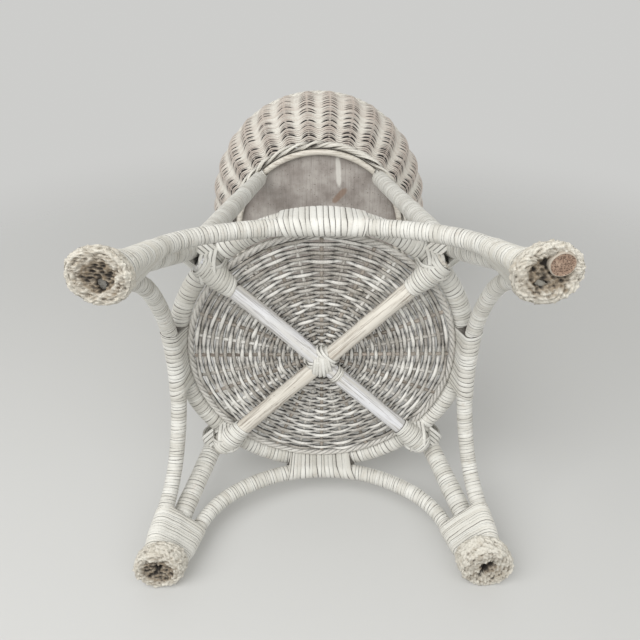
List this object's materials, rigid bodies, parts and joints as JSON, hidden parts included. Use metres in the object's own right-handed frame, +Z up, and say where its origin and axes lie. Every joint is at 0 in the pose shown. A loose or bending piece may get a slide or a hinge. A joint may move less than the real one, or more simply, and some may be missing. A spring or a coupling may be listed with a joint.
{
  "type": "two-tier wicker stand",
  "caption": "Small round wicker stand on splayed wrapped legs, with a woven shelf in a ring low down and an open woven basket on top.",
  "frame": {"origin": "on the floor, at the centre of the four feet", "axes": "+Z up; the legs stand on the diagonals between X and Y; -Y is the front"},
  "size_m": [0.352, 0.352, 0.6],
  "materials": {
    "painted_cane": "brushed white paint on rattan pole",
    "worn_cane": "thin white paint worn to the cane's grain",
    "reed_wrap": "flat reed wound edge to edge under white paint",
    "foot_reed": "frayed wound reed, paint worn at the floor",
    "shelf_reed": "round reed weave under thin dull white paint",
    "basket_reed": "round reed weave, white paint worn to the reed on the bulges",
    "plywood": "raw grey plywood with paint overspray",
    "nail_steel": "dull wire nail"
  },
  "bodies": {
    "root": {"leg_pole_front_left": "painted_cane", "leg_wrap_front_left": "reed_wrap", "leg_top_wrap_front_left": "reed_wrap", "foot_wrap_front_left": "foot_reed", "corner_lashing_front_left": "reed_wrap", "hoop_lashing_front_left": "reed_wrap", "leg_pole_front_right": "painted_cane", "leg_wrap_front_right": "reed_wrap", "leg_top_wrap_front_right": "reed_wrap", "foot_wrap_front_right": "foot_reed", "corner_lashing_front_right": "reed_wrap", "hoop_lashing_front_right": "reed_wrap", "leg_pole_back_right": "painted_cane", "leg_wrap_back_right": "reed_wrap", "leg_top_wrap_back_right": "reed_wrap", "foot_wrap_back_right": "foot_reed", "corner_lashing_back_right": "reed_wrap", "hoop_lashing_back_right": "reed_wrap", "leg_pole_back_left": "painted_cane", "leg_wrap_back_left": "reed_wrap", "leg_top_wrap_back_left": "reed_wrap", "foot_wrap_back_left": "foot_reed", "corner_lashing_back_left": "reed_wrap", "hoop_lashing_back_left": "reed_wrap", "arch_cane_front": "painted_cane", "arch_wrap_front": "reed_wrap", "arch_tie_front": "reed_wrap", "arch_cane_right": "painted_cane", "arch_wrap_right": "reed_wrap", "arch_tie_right": "reed_wrap", "arch_cane_back": "painted_cane", "arch_wrap_back": "reed_wrap", "arch_tie_back": "reed_wrap", "arch_cane_left": "painted_cane", "arch_wrap_left": "reed_wrap", "arch_tie_left": "reed_wrap", "shelf_ring": "painted_cane", "shelf_ring_wrap": "reed_wrap", "cross_cane_through": "worn_cane", "cross_cane_half_front_right": "worn_cane", "cross_cane_half_back_left": "worn_cane", "centre_lashing": "reed_wrap", "shelf_spokes": "shelf_reed", "shelf_weave": "shelf_reed", "shelf_border": "shelf_reed", "base_board": "plywood", "board_nails": "nail_steel", "basket_hoop": "painted_cane", "basket_weave": "basket_reed", "basket_stakes": "basket_reed", "basket_foot_border": "basket_reed", "basket_rim_border": "basket_reed", "basket_rim_hoop": "painted_cane"}
  },
  "joints": []
}
